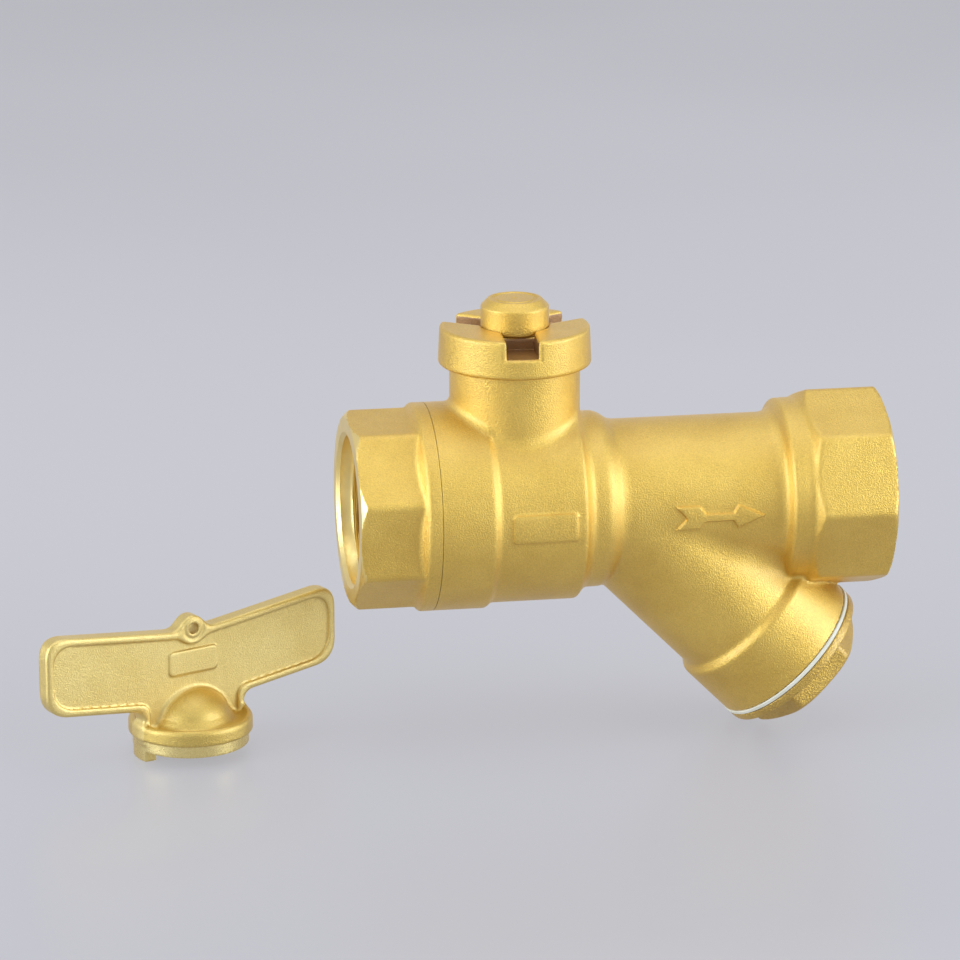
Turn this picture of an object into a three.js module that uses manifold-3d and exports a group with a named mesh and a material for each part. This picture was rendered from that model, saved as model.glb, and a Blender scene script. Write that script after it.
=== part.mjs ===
// A forged brass quarter-turn ball valve with a Y strainer in the same body, and its detached wing key.
// Millimetres, +Z up. The origin is the centre of the inlet face, and water flows along +X.
// Each piece is one closed solid in its own named mesh. Round pieces are revolved profiles of
// [radius, height] pairs, turned onto the pipe, stem or branch axis.

import * as THREE from 'three';
import { mergeVertices } from 'three/addons/utils/BufferGeometryUtils.js';
import Module from 'manifold-3d';

const wasm = await Module();
wasm.setup();

const GAP = 0.3;                        // clearance between pieces that touch on the real valve
const ROUND = 32;                       // sides of a large round piece
const SMALL = 16;                       // sides of a small round piece
const DEGREE = Math.PI / 180;

// Pipe line: positions are along X, from the inlet face
const LENGTH = 116.7;
const STEM_X = 36.5;
const BRANCH_X = 60.3;                  // where the branch axis leaves the pipe axis
const OUTLET_OCTAGON_RADIUS = 22.3;     // over the corners: 41.2 mm across flats
const OUTLET_OCTAGON_TURN = 1;          // degrees
const INLET_OCTAGON_RADIUS = 21.65;     // over the corners: 40 mm across flats
const INLET_OCTAGON_TURN = -16.5;       // degrees
const INLET_OCTAGON_LENGTH = 14.0;
const CONNECTOR_FLANGE_START = 12.75;
const CONNECTOR_FLANGE_END = 17.0;
const CHAMFER_CLEARANCE = 0.4;          // how far a chamfering cone passes outside an octagon's corners
const THREAD_RADIUS = 15.15;            // minor radius of a G1 female thread
const THREAD_DEPTH = 16.5;
const MOUTH_RADIUS = 16.8;
const PASSAGE_RADIUS = 11.3;
const OUTLET_PASSAGE_START = 77.5;

// Ball chamber: positions are along X, from the stem axis
const BALL_RADIUS = 17.4;
const PORT_RADIUS = 11.0;
const STEM_SLOT_FLOOR = 13.0;           // height of the slot in the ball that takes the stem's tang
const CHAMBER_RADIUS = 18.0;
const SPIGOT_RADIUS = 19.2;
const SPIGOT_END = 9.0;
const SEAL_GROOVE_RADIUS = 17.3;
const SEAL_GROOVE_WIDTH = 2.2;
const SEAL_RADIUS = 18.4;
const SEAL_WIRE = 0.75;
const SEAT_RADIUS = 15.6;
const SEAT_BACK = 14.6;
const CHAMBER_OUTER_RADIUS = 22.5;
const RING_RADIUS = 19.9;               // the raised ring beside the outlet octagon
const WAIST_RADIUS = 21.4;
const SHOULDER_RADIUS = 19.1;
const TUBE_RADIUS = 17.0;
const BODY_START = -STEM_X + CONNECTOR_FLANGE_END + GAP;
const OUTLET_RING_END = 61.0;
const OUTLET_OCTAGON_START = 60.0;

// Neck and lock: heights above the pipe axis
const NECK_RADIUS = 14.0;
const NECK_TOP = 33.6;
const SHANK_RADIUS = 5.0;
const STEM_GROOVE_RADIUS = 3.7;
const STEM_SEAL_RADIUS = 4.5;
const STEM_SEAL_WIRE = 0.48;
const FLANGE_RADIUS = 7.5;
const FLANGE_BOTTOM = 18.3;
const FLANGE_TOP = 20.4;
const WASHER_TOP = 21.7;
const O_RING_HEIGHTS = { stem_o_ring_lower: 23.4, stem_o_ring_upper: 25.6 };
const PACKING_FLOOR = 27.0;
const PACKING_RADIUS = 8.8;
const PACKING_TOP = 29.3;
const GLAND_TOP = 33.3;
const STEM_TOP = 36.7;
const FLATS_BOTTOM = 34.0;
const HALF_FLATS = 4.0;                 // half the distance across the stem's two flats
const CAP_BOTTOM = 31.2;
const CAP_CEILING = 34.2;               // underside of the cap's top plate
const CAP_TOP = 39.5;
const CAP_RADIUS = 16.45;
const SLOT_WIDTH = 6.8;
const SLOT_DEPTH = 3.9;
const SLOT_INNER_RADIUS = 6.9;
const SLOT_ANGLES = [-94, 26, 146];     // degrees from +X
const KNOB_RADIUS = 7.3;
const KNOB_TOP = 45.5;
const KNOB_SEAT_DEPTH = 1.2;            // the knob stands in a shallow counterbore in the cap
const KNOB_HOLLOW_RADIUS = 5.1;
const KNOB_HOLLOW_TOP = 42.4;
const SCREW_RADIUS = 2.0;
const SCREW_BOTTOM = 29.0;
const SCREW_HEAD_RADIUS = 4.4;
const SCREW_HEAD_TOP = 41.0;
const SCREW_SOCKET_RADIUS = 1.75;
const SCREW_SOCKET_FLOOR = 39.6;
const PIN_RADIUS = 1.2;
const PIN_ORBIT = 11.6;                 // distance of the lock pin from the stem axis
const PIN_ANGLE = 86;
const PIN_BOTTOM = NECK_TOP + GAP;
const PIN_TOP = 36.0;
const PIN_TRAVEL = 1.8;
const PIN_HOLE_TOP = 38.2;
const SPRING_RADIUS = 0.95;
const SPRING_WIRE = 0.16;
const SPRING_COILS = 3.5;

// Branch and strainer: distances along the branch axis, which falls 45 degrees from +X
const BRANCH_RADIUS = 16.8;
const COLLAR_RADIUS = 18.2;
const COLLAR_START = 38.5;
const COLLAR_END = 51.0;
const SCREEN_RADIUS = 11.4;
const SCREEN_SHEET = 0.4;
const SCREEN_SIDES = 24;
const HOOP_WIDTH = 3.0;                 // of the hoops that stiffen the screen's two ends
const HOOP_THICKNESS = 0.8;
const SCREEN_START = 2.0;
const SCREEN_END = 49.0;
const WINDOW_RADIUS = 3.0;              // over the corners of the screen's square windows
const WINDOW_ROWS = [14, 24, 34];
const WINDOWS_IN_A_ROW = 8;
const SCREEN_CHAMBER_START = 9.0;
const SCREEN_CHAMBER_RADIUS = 13.9;
const PLUG_BORE_START = 40.0;
const PLUG_SPIGOT_START = 41.0;
const PLUG_SPIGOT_RADIUS = 14.0;
const GASKET_THICKNESS = 0.9;
const PLUG_FLANGE_START = 52.4;
const PLUG_FLANGE_RADIUS = 18.3;
const PLUG_HEX_START = 54.3;
const PLUG_HEX_RADIUS = 15.3;
const PLUG_END = 60.0;
const PLUG_HEX_TURN = 23;               // degrees

// Key: heights above the feet of its lugs
const KEY_PLACE = [-34.14, 2.54, -53.0];
const KEY_TURN = 24.5;                  // degrees
const KEY_THICKNESS = 4.04;
const KEY_RIM_WIDTH = 1.8;
const KEY_RECESS_DEPTH = 0.7;
const WING_SPAN = 36.3;                 // half the width over both wing tips
const WING_RISE = 0.127;                // slope of the wings' edges
const WING_BOTTOM = 9.7;                // where the lower edges would meet on the centre line
const WING_TOP = 27.3;
const WING_CORNER = 4.6;
const HUB_RADIUS = 13.47;
const HUB_SHOULDER = 8.54;
const SKIRT_RADIUS = 12.59;
const SKIRT_TOP = 4.92;
const LUG_HEIGHT = 2.27;
const LUG_WIDTH = 6.2;
const LUG_INNER_RADIUS = 9.6;
const LUG_ANGLES = [53, 173];           // degrees from the wing that points to +X
const DOME_RADIUS = 8.2;
const DOME_CENTRE = 6.4;
const BOSS_HEIGHT = 28.0;
const BOSS_RADIUS = 2.9;
const BOSS_HOLE_RADIUS = 1.2;
const MAGNET_RADIUS = 4.5;
const MAGNET_SEAT = 9.5;
const MAGNET_TOP = 12.0;
const COVER_RADIUS = 6.3;
const COVER_BOTTOM = 8.65;
const KNOB_RECESS_TOP = 7.2;

// Finishes
const finish = (color, roughness, metalness) => (
  new THREE.MeshStandardMaterial({ color, roughness, metalness })
);
const FORGED_BRASS = finish(0xd8b860, 0.5, 1);
const KEY_BRASS = finish(0xe0c880, 0.5, 1);
const TURNED_BRASS = finish(0xe6c25a, 0.25, 1);
const CHROME = finish(0xd9dcdf, 0.08, 1);
const STEEL = finish(0xa8abaf, 0.35, 1);
const PTFE = finish(0xf1f0ea, 0.45, 0);
const GASKET = finish(0xe8e6cd, 0.5, 0);
const RUBBER = finish(0x1c1c1e, 0.7, 0);
const MAGNET = finish(0x6f7276, 0.3, 1);

const valve = new THREE.Group();

// ---------- shape helpers ----------

function solid(geometry) {
  const bare = geometry.clone();
  bare.deleteAttribute('normal');
  bare.deleteAttribute('uv');
  const merged = mergeVertices(bare, 1e-5);
  const vertProperties = new Float32Array(merged.attributes.position.array);
  const triVerts = new Uint32Array(merged.index.array);
  const body = new wasm.Manifold(new wasm.Mesh({ numProp: 3, vertProperties, triVerts }));
  if (body.volume() > 0) return body;
  triVerts.reverse();
  return new wasm.Manifold(new wasm.Mesh({ numProp: 3, vertProperties, triVerts }));
}

function join(...pieces) {
  return pieces.reduce((whole, piece) => whole.add(piece));
}

function cut(whole, ...holes) {
  return holes.reduce((rest, hole) => rest.subtract(hole), whole);
}

function geometryOf(body) {
  const mesh = body.getMesh();
  const geometry = new THREE.BufferGeometry();
  geometry.setAttribute('position', new THREE.BufferAttribute(mesh.vertProperties, 3));
  geometry.setIndex(new THREE.BufferAttribute(mesh.triVerts, 1));
  geometry.computeVertexNormals();
  return geometry;
}

function addPiece(name, body, material, group = valve) {
  const mesh = new THREE.Mesh(geometryOf(body), material);
  mesh.name = name;
  group.add(mesh);
}

// A profile turned around +Z. Its first corner faces -Y, and turn is in degrees.
function turned(profile, sides = ROUND, turn = 0) {
  const points = profile.map(([radius, height]) => new THREE.Vector2(radius, height));
  return new THREE.LatheGeometry(points, sides).rotateX(Math.PI / 2).rotateZ(turn * DEGREE);
}

function rod(radius, bottom, top, sides = ROUND, turn = 0) {
  return turned([[0, bottom], [radius, bottom], [radius, top], [0, top]], sides, turn);
}

function ring(inner, outer, bottom, top, sides = ROUND) {
  return turned([[inner, bottom], [outer, bottom], [outer, top], [inner, top], [inner, bottom]], sides);
}

function box(width, depth, bottom, top) {
  return new THREE.BoxGeometry(width, depth, top - bottom).translate(0, 0, (bottom + top) / 2);
}

function arc(radius, centreHeight, fromDegrees, toDegrees, steps) {
  const points = [];
  for (let step = 0; step <= steps; step += 1) {
    const angle = (fromDegrees + (toDegrees - fromDegrees) * step / steps) * DEGREE;
    points.push([radius * Math.cos(angle), centreHeight + radius * Math.sin(angle)]);
  }
  return points;
}

const alongPipe = (geometry, x = 0) => solid(geometry.rotateY(Math.PI / 2).translate(x, 0, 0));
const alongStem = (geometry) => solid(geometry.translate(STEM_X, 0, 0));
const alongBranch = (geometry) => solid(geometry.rotateY(135 * DEGREE).translate(BRANCH_X, 0, 0));

// ---------- valve body and connector ----------

function bodyOutside() {
  const chamberAndTube = turned([
    [0, BODY_START], [CHAMBER_OUTER_RADIUS - 0.2, BODY_START], [CHAMBER_OUTER_RADIUS, BODY_START + 0.2],
    [CHAMBER_OUTER_RADIUS, -7.9], [WAIST_RADIUS, -6.6],
    [WAIST_RADIUS, 11.8], [WAIST_RADIUS - 0.8, 12.9], [SHOULDER_RADIUS, 13.4],
    [SHOULDER_RADIUS, 17.6], [SHOULDER_RADIUS - 0.7, 19.2], [TUBE_RADIUS, 21.0],
    [TUBE_RADIUS, 55.9], [TUBE_RADIUS + 0.8, 57.2], [RING_RADIUS, 58.2],
    [RING_RADIUS, OUTLET_RING_END], [0, OUTLET_RING_END],
  ]);
  const outletEnd = LENGTH - STEM_X;
  const outletBar = rod(OUTLET_OCTAGON_RADIUS, OUTLET_OCTAGON_START, outletEnd, 8, OUTLET_OCTAGON_TURN);
  const coneRadius = OUTLET_OCTAGON_RADIUS + CHAMFER_CLEARANCE;
  const outletChamfers = turned([
    [0, OUTLET_OCTAGON_START], [18.7, OUTLET_OCTAGON_START], [coneRadius, 64.6],
    [coneRadius, outletEnd - 1.2], [20.7, outletEnd], [0, outletEnd],
  ]);
  const outletOctagon = alongPipe(outletBar, STEM_X).intersect(alongPipe(outletChamfers, STEM_X));
  const branch = turned([
    [0, 0], [BRANCH_RADIUS, 0], [BRANCH_RADIUS, 36.6], [COLLAR_RADIUS, COLLAR_START],
    [COLLAR_RADIUS, COLLAR_END], [0, COLLAR_END],
  ]);
  const neck = rod(NECK_RADIUS, CHAMBER_RADIUS / 2, NECK_TOP);
  return join(alongPipe(chamberAndTube, STEM_X), outletOctagon, alongBranch(branch), alongStem(neck));
}

function flowArrow() {
  const shape = new THREE.Shape();
  shape.moveTo(68.5, -2.6);
  shape.lineTo(73.7, -2.6);
  shape.lineTo(75.0, -0.85);
  shape.lineTo(82.1, -0.85);
  shape.lineTo(82.1, -2.6);
  shape.lineTo(87.8, 0);
  shape.lineTo(82.1, 2.6);
  shape.lineTo(82.1, 0.85);
  shape.lineTo(75.0, 0.85);
  shape.lineTo(73.7, 2.6);
  shape.lineTo(68.5, 2.6);
  shape.lineTo(71.0, 0);
  const raised = new THREE.ExtrudeGeometry(shape, { depth: 1.6, bevelEnabled: false });
  return solid(raised.rotateX(Math.PI / 2).translate(0, -16, -0.6));
}

function bodyChamber() {
  const cavity = turned([
    [0, BODY_START - 1], [SPIGOT_RADIUS + GAP, BODY_START - 1],
    [SPIGOT_RADIUS + GAP, GAP - SPIGOT_END], [CHAMBER_RADIUS, GAP - SPIGOT_END],
    [CHAMBER_RADIUS, SPIGOT_END], [SEAT_RADIUS + GAP, SPIGOT_END],
    [SEAT_RADIUS + GAP, SEAT_BACK + GAP], [PASSAGE_RADIUS, SEAT_BACK + GAP],
    [PASSAGE_RADIUS, BRANCH_X - STEM_X + 3], [0, BRANCH_X - STEM_X + 3],
  ]);
  return alongPipe(cavity, STEM_X);
}

function neckBore() {
  const bore = turned([
    [0, BALL_RADIUS - 5], [FLANGE_RADIUS + 0.4, BALL_RADIUS - 5],
    [FLANGE_RADIUS + 0.4, WASHER_TOP + GAP], [SHANK_RADIUS + GAP, WASHER_TOP + GAP],
    [SHANK_RADIUS + GAP, PACKING_FLOOR], [PACKING_RADIUS + GAP, PACKING_FLOOR],
    [PACKING_RADIUS + GAP, NECK_TOP + 1], [0, NECK_TOP + 1],
  ], SMALL);
  return alongStem(bore);
}

// The pin drops into one pocket with the valve open and into the other with it shut.
function pinPockets() {
  const pocket = (angle) => {
    const hole = rod(PIN_RADIUS + GAP, PIN_BOTTOM - PIN_TRAVEL - 0.5, NECK_TOP + 1, 12);
    return alongStem(hole.translate(PIN_ORBIT, 0, 0).rotateZ(angle * DEGREE));
  };
  return join(pocket(PIN_ANGLE), pocket(PIN_ANGLE - 90));
}

function strainerChamber() {
  const screenBore = rod(SCREEN_RADIUS + GAP, -7, PLUG_BORE_START);
  const chamber = turned([
    [0, SCREEN_CHAMBER_START], [SCREEN_CHAMBER_RADIUS, SCREEN_CHAMBER_START],
    [SCREEN_CHAMBER_RADIUS, PLUG_BORE_START], [PLUG_SPIGOT_RADIUS + GAP, PLUG_BORE_START],
    [PLUG_SPIGOT_RADIUS + GAP, COLLAR_END + 1], [0, COLLAR_END + 1],
  ]);
  return join(alongBranch(screenBore), alongBranch(chamber));
}

function outletBore() {
  const threadStart = LENGTH - THREAD_DEPTH;
  const bore = turned([
    [0, OUTLET_PASSAGE_START], [PASSAGE_RADIUS, OUTLET_PASSAGE_START],
    [PASSAGE_RADIUS, threadStart - 2], [THREAD_RADIUS, threadStart],
    [THREAD_RADIUS, LENGTH - 1.6], [MOUTH_RADIUS + 0.6, LENGTH + 0.6], [0, LENGTH + 0.6],
  ]);
  return alongPipe(bore);
}

function makeBody() {
  const outside = join(bodyOutside(), flowArrow());
  const body = cut(outside, bodyChamber(), neckBore(), pinPockets(), strainerChamber(), outletBore());
  addPiece('valve_body', body, FORGED_BRASS);
}

function makeConnector() {
  const coneRadius = INLET_OCTAGON_RADIUS + CHAMFER_CLEARANCE;
  const bar = rod(INLET_OCTAGON_RADIUS, 0, INLET_OCTAGON_LENGTH, 8, INLET_OCTAGON_TURN);
  const chamfer = turned([
    [0, 0], [19.4, 0], [coneRadius, 1.5], [coneRadius, INLET_OCTAGON_LENGTH], [0, INLET_OCTAGON_LENGTH],
  ]);
  const octagon = alongPipe(bar).intersect(alongPipe(chamfer));
  const start = CONNECTOR_FLANGE_START;
  const end = CONNECTOR_FLANGE_END;
  const grooveStart = end + 1.7;
  const grooveEnd = grooveStart + SEAL_GROOVE_WIDTH;
  const spigotEnd = STEM_X - SPIGOT_END;
  const flangeAndSpigot = turned([
    [0, start], [19.9, start], [CHAMBER_OUTER_RADIUS, start + 1.6], [CHAMBER_OUTER_RADIUS, end - 0.2],
    [CHAMBER_OUTER_RADIUS - 0.2, end], [SPIGOT_RADIUS, end], [SPIGOT_RADIUS, grooveStart],
    [SEAL_GROOVE_RADIUS, grooveStart], [SEAL_GROOVE_RADIUS, grooveEnd], [SPIGOT_RADIUS, grooveEnd],
    [SPIGOT_RADIUS, spigotEnd], [0, spigotEnd],
  ]);
  const bore = turned([
    [0, -0.6], [MOUTH_RADIUS + 0.6, -0.6], [THREAD_RADIUS, 1.6], [THREAD_RADIUS, THREAD_DEPTH],
    [PASSAGE_RADIUS, THREAD_DEPTH + 2], [PASSAGE_RADIUS, STEM_X - SEAT_BACK - GAP],
    [SEAT_RADIUS + GAP, STEM_X - SEAT_BACK - GAP], [SEAT_RADIUS + GAP, STEM_X], [0, STEM_X],
  ]);
  const outside = join(octagon, alongPipe(flangeAndSpigot));
  addPiece('inlet_connector', cut(outside, alongPipe(bore)), FORGED_BRASS);
  const sealPlace = grooveStart + SEAL_GROOVE_WIDTH / 2;
  const seal = new THREE.TorusGeometry(SEAL_RADIUS, SEAL_WIRE, 6, ROUND).translate(0, 0, sealPlace);
  addPiece('connector_o_ring', alongPipe(seal), RUBBER);
}

// ---------- ball, seats and stem ----------

function makeBall() {
  const sphere = new THREE.SphereGeometry(BALL_RADIUS, ROUND, SMALL).rotateZ(Math.PI / 2);
  const port = alongPipe(rod(PORT_RADIUS, -BALL_RADIUS - 1, BALL_RADIUS + 1), STEM_X);
  const slot = alongStem(box(2 * HALF_FLATS - 1.4, 2 * BALL_RADIUS + 2, STEM_SLOT_FLOOR, BALL_RADIUS + 1));
  addPiece('ball', cut(alongStem(sphere), port, slot), CHROME);
}

function makeSeats() {
  const face = arc(BALL_RADIUS + GAP, 0, 30.8, 50.3, 3);
  const profile = [
    [PASSAGE_RADIUS, SEAT_BACK], [SEAT_RADIUS, SEAT_BACK], [SEAT_RADIUS, face[0][1]],
    ...face, [PASSAGE_RADIUS, SEAT_BACK],
  ];
  const mirrored = profile.map(([radius, height]) => [radius, -height]);
  addPiece('inlet_seat', alongPipe(turned(mirrored), STEM_X), PTFE);
  addPiece('outlet_seat', alongPipe(turned(profile), STEM_X), PTFE);
}

function makeStem() {
  const tang = box(2 * HALF_FLATS - 2, 12, STEM_SLOT_FLOOR + GAP, FLANGE_BOTTOM + 1);
  const profile = [
    [0, FLANGE_BOTTOM], [FLANGE_RADIUS, FLANGE_BOTTOM],
    [FLANGE_RADIUS, FLANGE_TOP], [SHANK_RADIUS, FLANGE_TOP],
  ];
  for (const height of Object.values(O_RING_HEIGHTS)) {
    profile.push([SHANK_RADIUS, height - 0.8], [STEM_GROOVE_RADIUS, height - 0.8]);
    profile.push([STEM_GROOVE_RADIUS, height + 0.8], [SHANK_RADIUS, height + 0.8]);
  }
  profile.push([SHANK_RADIUS, FLATS_BOTTOM], [0, FLATS_BOTTOM]);
  const flats = box(2 * HALF_FLATS, 2 * SHANK_RADIUS + 1, FLATS_BOTTOM - 1, STEM_TOP);
  const top = alongStem(rod(SHANK_RADIUS, FLATS_BOTTOM - 1, STEM_TOP, SMALL)).intersect(alongStem(flats));
  const screwHole = alongStem(rod(SCREW_RADIUS + GAP, 28.5, STEM_TOP + 1, 12));
  const stem = cut(join(alongStem(tang), alongStem(turned(profile, SMALL)), top), screwHole);
  addPiece('stem', stem, TURNED_BRASS);
  for (const [name, height] of Object.entries(O_RING_HEIGHTS)) {
    const seal = new THREE.TorusGeometry(STEM_SEAL_RADIUS, STEM_SEAL_WIRE, 6, SMALL);
    seal.translate(0, 0, height);
    addPiece(name, alongStem(seal), RUBBER);
  }
}

function makeGland() {
  const bore = SHANK_RADIUS + GAP;
  const washer = ring(bore, FLANGE_RADIUS, FLANGE_TOP + GAP, WASHER_TOP, SMALL);
  const packing = ring(bore, PACKING_RADIUS, PACKING_FLOOR + GAP, PACKING_TOP, SMALL);
  const nut = alongStem(ring(bore, PACKING_RADIUS, PACKING_TOP + GAP, GLAND_TOP, SMALL));
  const spannerSlot = alongStem(box(2 * PACKING_RADIUS + 2, 2.4, GLAND_TOP - 1.2, GLAND_TOP + 1));
  addPiece('thrust_washer', alongStem(washer), PTFE);
  addPiece('packing_ring', alongStem(packing), PTFE);
  addPiece('gland_nut', cut(nut, spannerSlot), TURNED_BRASS);
}

// ---------- lock cap, knob and lock pin ----------

function capSlot(angle) {
  const length = CAP_RADIUS + 2 - SLOT_INNER_RADIUS;
  const slot = box(length, SLOT_WIDTH, CAP_TOP - SLOT_DEPTH, CAP_TOP + 1);
  return alongStem(slot.translate(SLOT_INNER_RADIUS + length / 2, 0, 0).rotateZ(angle * DEGREE));
}

function makeCap() {
  const screwFloor = STEM_TOP + GAP;
  const knobSeat = CAP_TOP - KNOB_SEAT_DEPTH;
  const cup = turned([
    [0, CAP_CEILING], [NECK_RADIUS + 0.6, CAP_CEILING], [NECK_RADIUS + 0.6, CAP_BOTTOM],
    [CAP_RADIUS, CAP_BOTTOM], [CAP_RADIUS - 0.3, CAP_TOP - 0.3], [CAP_RADIUS - 0.6, CAP_TOP], [0, CAP_TOP],
  ]);
  const roundBore = alongStem(rod(SHANK_RADIUS + GAP, CAP_CEILING - 1, screwFloor, SMALL));
  const betweenFlats = alongStem(box(2 * (HALF_FLATS + GAP), 20, CAP_CEILING - 1, screwFloor));
  const screwHole = alongStem(rod(SCREW_RADIUS + GAP, screwFloor - 1, knobSeat + 1, 12));
  const counterbore = alongStem(rod(KNOB_RADIUS + GAP, knobSeat, CAP_TOP + 1));
  const pinHole = rod(PIN_RADIUS + GAP, CAP_CEILING - 1, PIN_HOLE_TOP, 12);
  pinHole.translate(PIN_ORBIT, 0, 0).rotateZ(PIN_ANGLE * DEGREE);
  const holes = [roundBore.intersect(betweenFlats), screwHole, counterbore, alongStem(pinHole)];
  addPiece('lock_cap', cut(alongStem(cup), ...holes, ...SLOT_ANGLES.map(capSlot)), FORGED_BRASS);
}

function makeKnob() {
  const bottom = CAP_TOP - KNOB_SEAT_DEPTH + GAP;
  const knob = turned([
    [0, KNOB_HOLLOW_TOP], [KNOB_HOLLOW_RADIUS, KNOB_HOLLOW_TOP], [KNOB_HOLLOW_RADIUS, bottom],
    [KNOB_RADIUS, bottom], [KNOB_RADIUS, KNOB_TOP - 1.7], [KNOB_RADIUS - 1.5, KNOB_TOP - 0.2],
    [KNOB_RADIUS - 2, KNOB_TOP], [0, KNOB_TOP],
  ]);
  addPiece('lock_knob', alongStem(knob), FORGED_BRASS);
  const screw = turned([
    [0, SCREW_BOTTOM], [SCREW_RADIUS, SCREW_BOTTOM], [SCREW_RADIUS, bottom], [SCREW_HEAD_RADIUS, bottom],
    [SCREW_HEAD_RADIUS, SCREW_HEAD_TOP], [0, SCREW_HEAD_TOP],
  ], SMALL);
  const socket = rod(SCREW_SOCKET_RADIUS, SCREW_SOCKET_FLOOR, SCREW_HEAD_TOP + 1, 6);
  addPiece('cap_screw', cut(alongStem(screw), alongStem(socket)), STEEL);
}

function makeLockPin() {
  const place = (geometry) => geometry.translate(PIN_ORBIT, 0, 0).rotateZ(PIN_ANGLE * DEGREE);
  const pin = rod(PIN_RADIUS, PIN_BOTTOM, PIN_TOP, 12);
  addPiece('lock_pin', alongStem(place(pin)), STEEL);

  const wire = new THREE.Shape().absarc(0, 0, SPRING_WIRE, 0, 2 * Math.PI);
  const coil = new THREE.Curve();
  const bottom = PIN_TOP + GAP + SPRING_WIRE;
  const height = PIN_HOLE_TOP - GAP - SPRING_WIRE - bottom;
  coil.getPoint = (t) => {
    const angle = t * SPRING_COILS * 2 * Math.PI;
    const [x, y] = [SPRING_RADIUS * Math.cos(angle), SPRING_RADIUS * Math.sin(angle)];
    return new THREE.Vector3(x, y, bottom + t * height);
  };
  const spring = new THREE.ExtrudeGeometry(wire, { steps: 28, extrudePath: coil, curveSegments: 2 });
  addPiece('lock_spring', alongStem(place(spring)), STEEL);
}

// ---------- strainer, gasket and plug ----------

function makeScreen() {
  const start = SCREEN_START + GAP;
  const inner = SCREEN_RADIUS - SCREEN_SHEET;
  const tube = alongBranch(ring(inner, SCREEN_RADIUS, start, SCREEN_END, SCREEN_SIDES));
  const holes = [];
  const step = 360 / WINDOWS_IN_A_ROW;
  for (const [row, place] of WINDOW_ROWS.entries()) {
    for (let column = 0; column < WINDOWS_IN_A_ROW / 2; column += 1) {
      const hole = rod(WINDOW_RADIUS, -SCREEN_RADIUS - 1, SCREEN_RADIUS + 1, 4).rotateX(Math.PI / 2);
      hole.rotateZ((column + (row % 2) / 2) * step * DEGREE).translate(0, 0, place);
      holes.push(alongBranch(hole));
    }
  }
  addPiece('strainer_screen', cut(tube, ...holes), STEEL);
  const hoop = (from) => {
    const outer = inner - GAP;
    return alongBranch(ring(outer - HOOP_THICKNESS, outer, from, from + HOOP_WIDTH, SCREEN_SIDES));
  };
  addPiece('screen_top_ring', hoop(start), STEEL);
  addPiece('screen_end_ring', hoop(SCREEN_END - HOOP_WIDTH), STEEL);
}

function makePlug() {
  const gasketStart = COLLAR_END + 0.25;
  const gasketEnd = gasketStart + GASKET_THICKNESS;
  const gasket = ring(PLUG_SPIGOT_RADIUS + GAP, COLLAR_RADIUS + 0.2, gasketStart, gasketEnd);
  addPiece('plug_gasket', alongBranch(gasket), GASKET);

  const cup = turned([
    [0, SCREEN_END + GAP], [SCREEN_RADIUS + GAP, SCREEN_END + GAP], [SCREEN_RADIUS + GAP, PLUG_SPIGOT_START],
    [PLUG_SPIGOT_RADIUS, PLUG_SPIGOT_START], [PLUG_SPIGOT_RADIUS, PLUG_FLANGE_START],
    [PLUG_FLANGE_RADIUS, PLUG_FLANGE_START], [PLUG_FLANGE_RADIUS, PLUG_HEX_START - 0.4],
    [PLUG_FLANGE_RADIUS - 0.4, PLUG_HEX_START], [0, PLUG_HEX_START],
  ]);
  const hexagon = rod(PLUG_HEX_RADIUS, PLUG_HEX_START - 1, PLUG_END, 6, PLUG_HEX_TURN);
  const chamfer = turned([
    [0, PLUG_HEX_START - 1], [PLUG_HEX_RADIUS + 0.4, PLUG_HEX_START - 1],
    [PLUG_HEX_RADIUS + 0.4, PLUG_END - 1.2], [PLUG_HEX_RADIUS - 1.8, PLUG_END], [0, PLUG_END],
  ]);
  const head = alongBranch(hexagon).intersect(alongBranch(chamfer));
  addPiece('strainer_plug', join(alongBranch(cup), head), FORGED_BRASS);
}

// ---------- key ----------

// The right half of the plate's outline, from the hub up to the centre line, and its mirror image.
// margin moves the outline inwards, which gives the edge of the sunk panel.
function plateOutline(margin) {
  const tip = WING_SPAN - margin;
  const corner = WING_CORNER - margin;
  const lower = (u) => WING_BOTTOM + WING_RISE * u + margin;
  const upper = (u) => WING_TOP + WING_RISE * u - margin;
  const neck = SKIRT_RADIUS - margin;
  const half = [
    [neck, HUB_SHOULDER - 1], [neck, lower(neck) - 1.8],
    [neck + 0.5, lower(neck) - 0.7], [neck + 2.2, lower(neck + 2.2)],
    [tip - corner, lower(tip - corner)],
    ...arc(corner, 0, -75, -10, 4).map(([u, z]) => [tip - corner + u, lower(tip - corner) + corner + z]),
    ...arc(corner, 0, 10, 85, 4).map(([u, z]) => [tip - corner + u, upper(tip - corner) - corner + z]),
    [tip - corner, upper(tip - corner)],
    [BOSS_RADIUS + 2.2, upper(BOSS_RADIUS + 2.2)],
    [0, upper(0) + 1.2],
  ];
  const left = half.slice(0, -1).reverse().map(([u, z]) => [-u, z]);
  return new THREE.Shape([...half, ...left].map(([u, z]) => new THREE.Vector2(u, z)));
}

function slab(shape, thickness, front) {
  const geometry = new THREE.ExtrudeGeometry(shape, { depth: thickness, bevelEnabled: false });
  return solid(geometry.rotateX(Math.PI / 2).translate(0, front + thickness, 0));
}

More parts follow.
